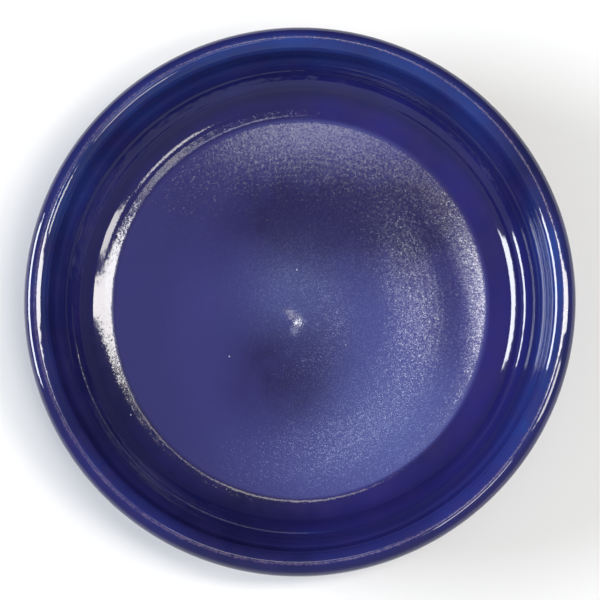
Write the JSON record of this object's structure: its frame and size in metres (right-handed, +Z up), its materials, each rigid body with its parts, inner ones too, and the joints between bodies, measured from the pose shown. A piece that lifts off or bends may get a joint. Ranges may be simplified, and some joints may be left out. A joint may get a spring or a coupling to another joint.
{
  "type": "plant saucer",
  "caption": "Round glazed ceramic saucer with a rolled lip, a curved wall with throwing rings and a flat floor. It stands under a plant pot and holds the water that drains out.",
  "frame": {"origin": "centre of the foot ring, on the plane that the saucer stands on", "axes": "+Z up along the axis that the dish was turned on; X and Y are equal, because the dish is round"},
  "size_m": [0.25, 0.25, 0.044],
  "materials": {
    "bare_clay": "matt fired stoneware, unglazed",
    "cobalt_glaze": "glossy cobalt-blue glaze, satin on the floor, breaking brown on edges"
  },
  "bodies": {
    "root": {"clay_body": "bare_clay", "inside_glaze": "cobalt_glaze", "outside_glaze": "cobalt_glaze"}
  },
  "joints": []
}
